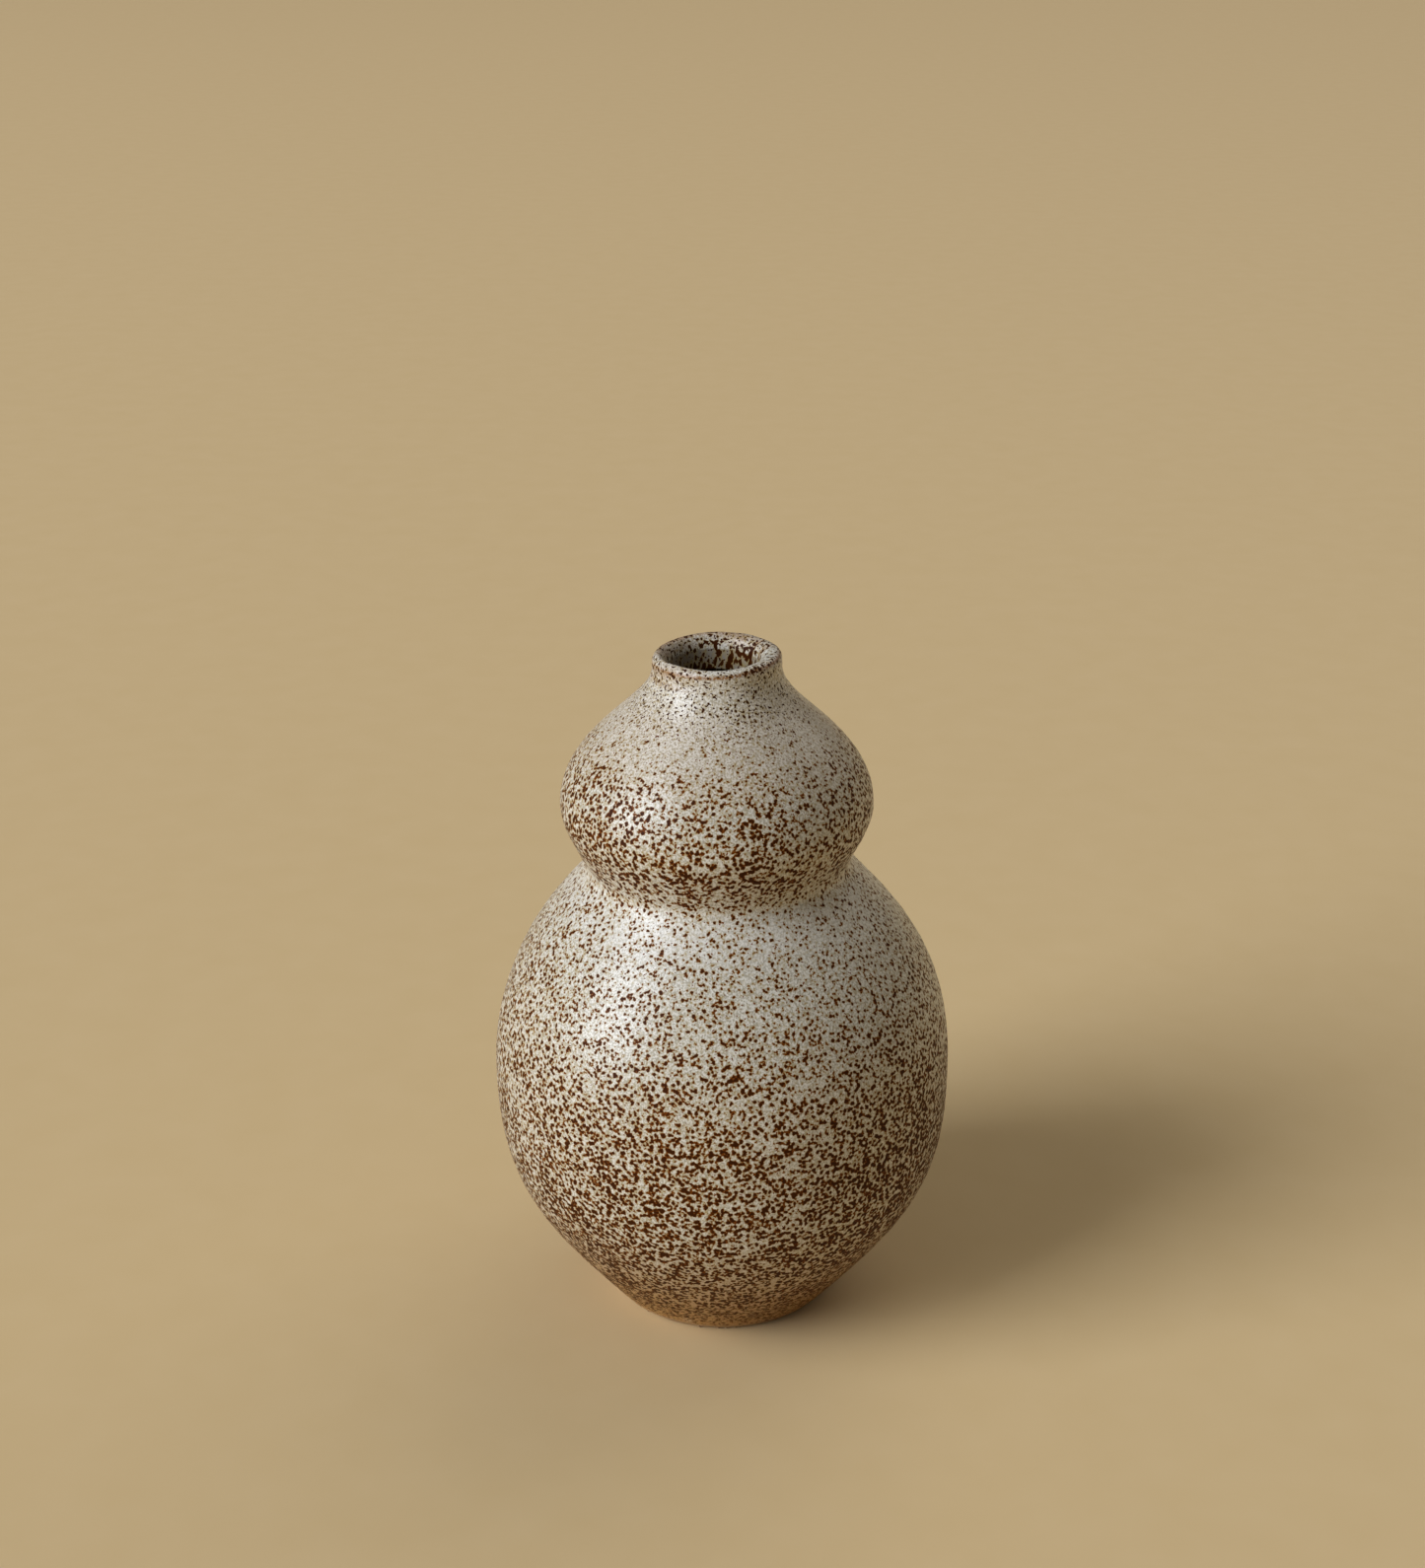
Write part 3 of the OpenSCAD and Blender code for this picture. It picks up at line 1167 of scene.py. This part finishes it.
@dataclass
class OuterCoat(VasePiece):
    """The glaze outside: from just above the foot, over the lip and down to the bore."""

    lip_steps: int = 24
    under_fineness: float = 0.22
    # height from which the tan of thin glaze and painted shade grows down to the foot
    thin_and_shade_to: float = 42.0
    pool_width: float = 4.5
    break_depth: float = 1.0
    break_rise: float = 0.5
    break_width: float = 0.36
    break_side: float = -35.0
    stain_side: float = 140.0
    # heights where the painted shade band on the upper bulb fades in
    shoulder_shade_z: tuple[float, float] = (125.0, 130.0)
    # where the painted highlight sits low on the foot
    glint_z: float = 3.6
    glint_at: float = -106.0

    def marks(self, shell: RevolvedShell, speckle: IronSpeckle) -> dict[Mark, np.ndarray]:
        """Works out the coat's marks on its grid.

        It goes tan from `thin_and_shade_to` down to the foot, partly thin glaze and partly painted shade and
        warm bounce, with a faint band of painted shade on the upper bulb. It pools under the waist, and
        breaks in a tilted line round the lip and along the rim at the back left. The creases' grooves are
        painted brown and more flecked, as painted shade. One small pale patch low on the foot is thick glaze
        with a painted highlight on it.

        Args:
            shell: The coat's shell.
            speckle: Where the iron flecks lie.

        Returns:
            One array for each mark.
        """
        o = self.outline
        r, theta, z = shell.grid()
        lip = rise(z, o.neck_z - 2.0, o.neck_z + 1.0)
        inner = 1.0 - rise(r, o.throat_r + 0.8, o.neck_r - o.lip_edge_w)
        throat = lip * inner
        cover = speckle.outside(theta, z) * (1.0 - throat) + speckle.throat(theta, z) * throat
        ring_z = o.top_z - self.break_depth + self.break_rise * np.cos(theta)
        strength = 0.95 + 0.25 * np.cos(turn_from(theta, math.radians(self.break_side)))
        outer = rise(r, o.neck_r - 1.5, o.neck_r - 0.7)
        broken_and_crease_shade = hump(z, ring_z, self.break_width) * outer * strength
        left_back = 0.5 + 0.5 * np.cos(turn_from(theta, math.radians(self.stain_side)))
        rim = hump(r, o.throat_r + 1.9, 0.55) * rise(z, o.top_z - 1.2, o.top_z - 0.3) * left_back**2
        # painted shade: the creases' grooves, painted brown and given more flecks below
        crease_shade = np.clip(self.hand.creases(r, theta, z) / self.hand.crease_depth, 0.0, 1.0) ** 0.7
        broken_and_crease_shade = np.maximum(np.maximum(broken_and_crease_shade, 0.8 * rim), 1.1 * crease_shade)
        cover = np.clip(cover + 0.16 * broken_and_crease_shade + 0.3 * crease_shade, 0.0, 0.8)
        # painted shade: a faint tan band on the upper bulb, fading out below the neck
        shoulder_shade = rise(z, *self.shoulder_shade_z) * (1.0 - rise(z, o.neck_z - 8.0, o.neck_z))
        # painted highlight: a small pale patch of thick glaze with a glint painted on it, low on the foot
        glint = hump(turn_from(theta, math.radians(self.glint_at)), 0.0, 0.045)
        glint = glint * hump(z, self.glint_z, 0.6)
        return {
            Mark.FLECK_CUT: speckle.cut(cover),
            # tan towards the foot: thin glaze and painted shade with warm bounce; the upper-bulb band is
            # painted shade
            Mark.THIN: (1.0 - rise(z, o.bare_h, self.thin_and_shade_to)) ** 1.05 * (1.0 - glint) + 0.15 * shoulder_shade,
            # pale where the glaze pools, plus the painted highlight on the foot
            Mark.THICK: 0.7 * hump(z, o.waist_z - 5.0, self.pool_width) + 2.0 * glint,
            # break at the lip, with painted shade in the creases' grooves
            Mark.BREAK: broken_and_crease_shade,
            Mark.STAIN: rise(z, o.neck_z, o.neck_z + 1.5) * (0.2 + 0.8 * left_back),
            Mark.SLIDE: (speckle.run_down(z) * throat + speckle.wiped_round(z)) * MM,
            Mark.PEPPER: rise(z, o.neck_z - 13.0, o.neck_z - 5.0),
        }

    def build(self, speckle: IronSpeckle, glaze: SatinSpeckleGlaze) -> bpy.types.Object:
        """Builds and dresses the coat: a loop of the glazed surface and the clay's under it.

        Args:
            speckle: Where the iron flecks lie.
            glaze: The coat's finish.

        Returns:
            The finished piece.
        """
        o = self.outline
        section = np.vstack([
            o.outside(0.0, o.bare_h, 1.0)[:-1],
            o.lip(0.0, self.lip_steps),
            o.lip(1.0, self.lip_steps // 3)[::-1],
            o.outside(1.0, o.bare_h, self.under_fineness)[1:-1][::-1],
        ])
        shell = RevolvedShell("speckled_coat", section, self.hand, self.copies)
        shell.marks = self.marks(shell, speckle)
        return self.settle(shell.build(), "outer_glaze", Slot.SPECKLED_GLAZE, glaze.material())


@dataclass
class LinerCoat(VasePiece):
    """The glaze inside: the bore, both chambers and the floor."""

    fineness: float = 0.7
    under_fineness: float = 0.3

    def build(self, speckle: IronSpeckle, glaze: SatinSpeckleGlaze) -> bpy.types.Object:
        """Builds and dresses the liner, from the floor's underside up, over and down again.

        Args:
            speckle: Where the iron flecks lie.
            glaze: The liner's finish.

        Returns:
            The finished piece.
        """
        o = self.outline
        section = np.vstack([o.inside(0.0, self.under_fineness)[::-1], o.inside(1.0, self.fineness)])
        shell = RevolvedShell("liner_coat", section, self.hand, self.copies)
        _, theta, z = shell.grid()
        still = np.zeros_like(z)
        shell.marks = {
            Mark.FLECK_CUT: speckle.cut(speckle.throat(theta, z)),
            Mark.THIN: still,
            Mark.THICK: still,
            Mark.BREAK: still,
            Mark.STAIN: still + 0.3,
            Mark.SLIDE: speckle.run_down(z) * MM,
            Mark.PEPPER: still + 0.9,
        }
        return self.settle(shell.build(), "inner_glaze", Slot.LINER_GLAZE, glaze.material())


@dataclass
class ClayBody(VasePiece):
    """The two thrown sections and the ring of slip that lutes them together at the waist."""

    fineness: float = 0.35
    lip_steps: int = 10

    def build(self, stoneware: bpy.types.Material, slip: bpy.types.Material) -> list[bpy.types.Object]:
        """Builds and dresses the globe, the bulb and the slip from the same two surfaces.

        Args:
            stoneware: The sections' material.
            slip: The slip's material.

        Returns:
            The three finished pieces.
        """
        o = self.outline
        half = o.seam_t / 2.0
        skin = o.outside(1.0, o.foot_edge_h, self.fineness)
        hollow = o.inside(0.0, self.fineness)[::-1]
        globe = np.vstack([o.underside(), o.cut(skin, -half, False), o.cut(hollow, -half, False)[::-1]])
        bulb = np.vstack([
            o.cut(skin, half, True)[:-1], o.lip(1.0, self.lip_steps), o.cut(hollow, half, True)[:-1][::-1],
        ])
        outer_cut = [o.cut(skin, level, True)[:1] for level in (-half, half)]
        inner_cut = [o.cut(hollow, level, True)[:1] for level in (-half, half)]
        ring = np.vstack([outer_cut[0], outer_cut[1], inner_cut[1], inner_cut[0]])
        return [
            self.settle(RevolvedShell(name, section, self.hand, self.copies).build(), node, slot, material)
            for name, section, node, slot, material in (
                ("globe_clay", globe, "lower_section", Slot.STONEWARE, stoneware),
                ("bulb_clay", bulb, "upper_section", Slot.STONEWARE, stoneware),
                ("luting_slip", ring, "waist_slip", Slot.JOINING_SLIP, slip),
            )
        ]


@dataclass
class KilnGrit(VasePiece):
    """Grains of the kiln shelf's sand that fused to the foot's edge."""

    directions: tuple[float, ...] = (-132.0, -102.0, -92.0, -88.0, -83.0, 12.0, 74.0, 148.0, 201.0)
    grain_mm: float = 0.34
    meridians: int = 8
    parallels: int = 5

    def build(self, stoneware: bpy.types.Material) -> bpy.types.Object:
        """Builds the grains as one piece: flattened spheres with an uneven radius, half sunk.

        A grain's point at longitude a and latitude b is its middle plus its size times (cos a cos b,
        sin a cos b, 0.8 sin b), with the size varied by sin(2a + 3b + the grain's own angle).

        Args:
            stoneware: The grains' material, the clay's own.

        Returns:
            The finished piece.
        """
        o = self.outline
        where = np.radians(np.array(self.directions))
        size = self.grain_mm * (0.8 + 0.35 * np.sin(3.0 * where + 1.0))
        rim = o.foot_d / 2.0 + 0.12
        middle = self.hand.bend(np.full_like(where, rim), where, np.full_like(where, 0.45))
        a = np.arange(self.meridians) * 2 * math.pi / self.meridians
        b = np.linspace(-math.pi / 2, math.pi / 2, self.parallels + 2)
        a, b = a[None, None, :], b[None, :, None]
        uneven = 1.0 + 0.22 * np.sin(2 * a + 3 * b + 5 * where[:, None, None]) * np.cos(b)
        uneven = size[:, None, None] * uneven
        sides = np.cos(a) * np.cos(b), np.sin(a) * np.cos(b), 0.8 * np.sin(b)
        form = np.stack(np.broadcast_arrays(*sides), -1)
        points = middle[:, None, None, :] + uneven[..., None] * form
        rings = points[:, 1:-1].reshape(len(where), -1, 3)
        points = np.concatenate([rings, points[:, :1].mean(2), points[:, -1:].mean(2)], axis=1)
        shell = RevolvedShell("", np.zeros((self.parallels + 2, 2)), self.hand, self.meridians)
        quads, fans = shell.faces()
        first = np.arange(len(where)) * points.shape[1]
        quads = (quads[None] + first[:, None, None]).reshape(-1, 4)
        fans = (fans[None] + first[:, None, None]).reshape(-1, 3)
        piece = put_mesh("kiln_grit", points.reshape(-1, 3), quads, fans)
        return self.settle(piece, None, Slot.STONEWARE, stoneware)


@dataclass(frozen=True)
class SoftLight:
    """A large soft rectangular light that faces the middle of the CAD model's box.

    `towards` is the direction from the vase to the light. Its distance and sides are metres.
    """

    name: str
    towards: tuple[float, float, float]
    far: float
    size: tuple[float, float]
    watts: float
    tint: str

    def hang(self) -> None:
        """Hangs the light."""
        lamp = bpy.data.lights.new(self.name, "AREA")
        lamp.shape = "RECTANGLE"
        lamp.size, lamp.size_y = self.size
        lamp.energy = self.watts
        lamp.color = linear(self.tint)[:3]
        light = bpy.data.objects.new(self.name, lamp)
        offset = Vector(self.towards).normalized()
        light.location = (CAD_BOX[0] + CAD_BOX[1]) / 2.0 + offset * self.far
        light.rotation_euler = offset.to_track_quat("Z", "Y").to_euler()
        bpy.context.scene.collection.objects.link(light)


@dataclass(frozen=True)
class Studio:
    """A pale card on the table, a big soft window, a pale wall behind, a dim fill and the camera."""

    floor_mm: float = 40000.0
    eye_mm: tuple[float, float, float] = (-2.2, -472.9, 315.2)
    look_down: float = 22.4
    lens_mm: float = 61.0
    sensor_mm: float = 36.0
    window: SoftLight = SoftLight("window", (-0.80, -0.41, 0.46), 14.0, (7.6, 12.4), 2700.0, "#EEF4FF")
    wall: SoftLight = SoftLight("pale_wall", (0.42, 0.60, 0.68), 14.0, (14.0, 12.0), 550.0, "#FFF8EC")
    sky: str = "#EFEFEC"
    sky_strength: float = 0.16

    def build(self) -> None:
        """Lays the floor, hangs the lights, sets the sky and places the camera."""
        scene = bpy.context.scene
        scene.view_settings.view_transform = "Standard"
        half = self.floor_mm / 2.0
        corners = np.array([[-half, -half, 0.0], [half, -half, 0.0], [half, half, 0.0], [-half, half, 0.0]])
        floor = put_mesh("studio_floor", corners, np.array([[0, 1, 2, 3]]), np.zeros((0, 3), int))
        floor.data.materials.append(StudioCard().material())
        self.window.hang()
        self.wall.hang()

        world = bpy.data.worlds.new("soft_room")
        world.use_nodes = True
        backdrop = world.node_tree.nodes["Background"]
        backdrop.inputs["Color"].default_value = linear(self.sky)
        backdrop.inputs["Strength"].default_value = self.sky_strength
        scene.world = world

        lens = bpy.data.cameras.new("camera")
        lens.sensor_fit = "HORIZONTAL"
        lens.sensor_width = self.sensor_mm
        lens.lens = self.lens_mm
        camera = bpy.data.objects.new("camera", lens)
        camera.location = [c * MM for c in self.eye_mm]
        camera.rotation_euler = (math.radians(90.0 - self.look_down), 0.0, 0.0)
        scene.collection.objects.link(camera)
        scene.camera = camera


def main() -> None:
    """Builds the vase from the clay outwards, then the studio round it, and notes the sizes."""
    logging.basicConfig(level=logging.INFO, format="%(name)s: %(message)s")
    outline = GourdOutline()
    LOG.info("outline's top %.2f mm, packed top %.2f mm", outline.top_z, CAD_BOX[1].z / MM)
    hand = ThrownHand(outline)
    speckle = IronSpeckle(outline)
    stoneware = BareStoneware().material()
    ClayBody(outline, hand).build(stoneware, FiredSlip().material())
    # the liner's dark grey ground is painted shade inside the bore and chambers
    LinerCoat(outline, hand).build(speckle, SatinSpeckleGlaze("satin_liner_glaze_painted_shade", ground="#968E82"))
    OuterCoat(outline, hand).build(speckle, SatinSpeckleGlaze("speckled_satin_glaze"))
    KilnGrit(outline, hand).build(stoneware)
    Studio().build()


if __name__ == "__main__":
    main()
